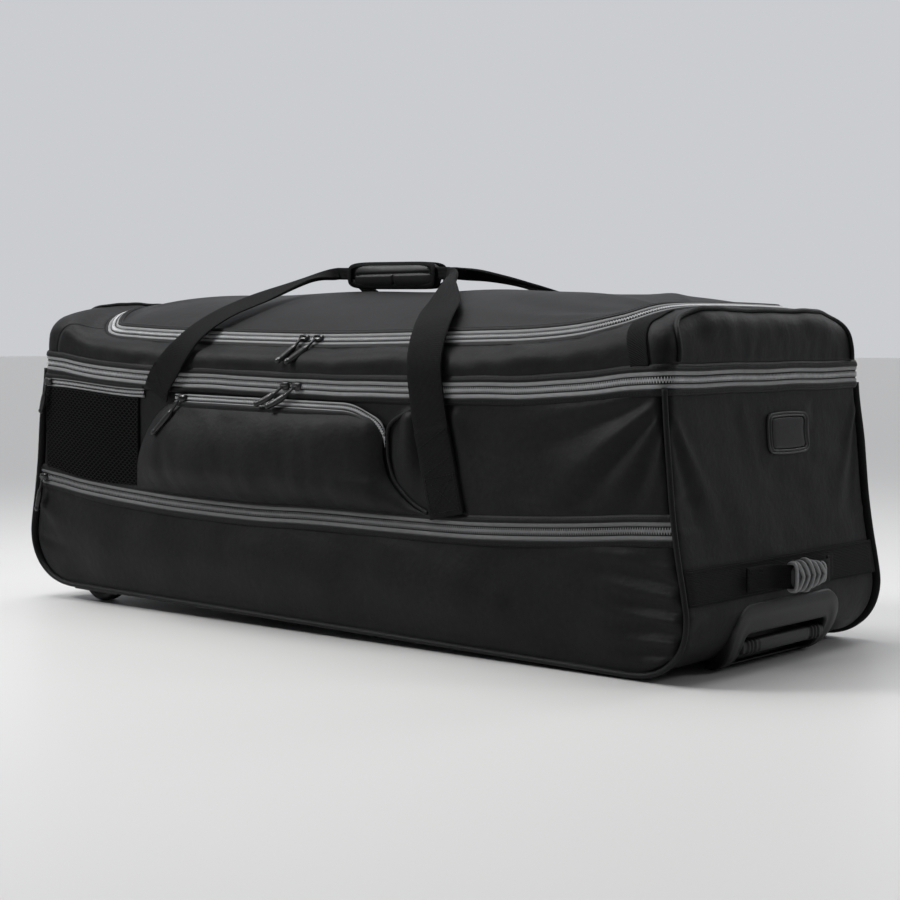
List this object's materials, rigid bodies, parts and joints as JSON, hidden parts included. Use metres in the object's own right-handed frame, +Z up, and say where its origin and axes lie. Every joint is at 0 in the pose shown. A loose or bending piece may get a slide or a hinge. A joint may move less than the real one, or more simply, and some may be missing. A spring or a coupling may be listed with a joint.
{
  "type": "wheeled kit bag",
  "caption": "Long black wheeled kit bag with a zipped lid, padded carry handles, front pockets, a tow loop and a moulded grab handle; the wheels turn.",
  "frame": {"origin": "on the floor under the middle of the whole bag's bounding box", "axes": "+Z up, +X along the bag towards the tow end with the moulded grab handle, -Y towards the front with the pockets"},
  "size_m": [1.0558, 0.4328, 0.441],
  "materials": {
    "black_cloth": "satin coated plain weave",
    "black_webbing": "ribbed webbing",
    "mesh_cloth": "open diamond mesh",
    "grey_zip": "woven tape with coil teeth",
    "grey_rubber": "soft matt rubber",
    "black_plastic": "fine moulded grain",
    "wheel_rubber": "smooth worn tread",
    "axle_steel": "plain steel pin",
    "pull_metal": "dark enamel on cast zinc"
  },
  "bodies": {
    "bag": {"front_lower_panel": "black_cloth", "front_upper_panel": "black_cloth", "back_panel": "black_cloth", "right_end_panel": "black_cloth", "right_end_lower_panel": "black_cloth", "base_panel": "black_cloth", "left_end_panel": "black_cloth", "main_zip": "grey_zip", "lower_zip": "grey_zip", "lid_right_end": "black_cloth", "lid_back_wall": "black_cloth", "lid_left_end": "black_cloth", "lid_front_wall": "black_cloth", "lid_zip": "grey_zip", "lid_hinge_strip": "black_cloth", "lid_top_panel": "black_cloth", "front_piping": "black_webbing", "back_piping": "black_webbing", "lid_right_piping": "black_webbing", "lid_left_piping": "black_webbing", "lid_webbing_strip": "black_webbing", "front_pocket_panel": "black_cloth", "front_pocket_zip": "grey_zip", "front_pocket_piping": "black_webbing", "mesh_pocket_panel": "mesh_cloth", "mesh_pocket_zip": "grey_zip", "carry_strap_front": "black_webbing", "carry_strap_back": "black_webbing", "grip_wrap": "black_cloth", "end_webbing": "black_webbing", "tow_loop": "black_webbing", "tow_grip": "grey_rubber", "card_frame": "black_plastic", "card_panel": "black_plastic", "grab_tray": "black_plastic", "grab_bar": "black_plastic", "wheel_housing_front": "black_plastic", "wheel_housing_back": "black_plastic", "axle_front": "axle_steel", "axle_back": "axle_steel", "main_zip_pull_a": "pull_metal", "main_zip_pull_b": "pull_metal", "lid_zip_pull_a": "pull_metal", "lid_zip_pull_b": "pull_metal", "front_pocket_zip_pull": "pull_metal", "mesh_pocket_zip_pull": "pull_metal", "lower_zip_pull": "pull_metal"},
    "wheel_front_body": {"wheel_front": "wheel_rubber"},
    "wheel_back_body": {"wheel_back": "wheel_rubber"}
  },
  "joints": [
    {"name": "wheel_front_spin", "type": "hinge", "parent": "bag", "child": "wheel_front_body", "pos_m": [-0.42267, -0.1472, 0.036], "axis": [0, 1, 0], "continuous": true},
    {"name": "wheel_back_spin", "type": "hinge", "parent": "bag", "child": "wheel_back_body", "pos_m": [-0.42267, 0.1688, 0.036], "axis": [0, 1, 0], "continuous": true}
  ]
}
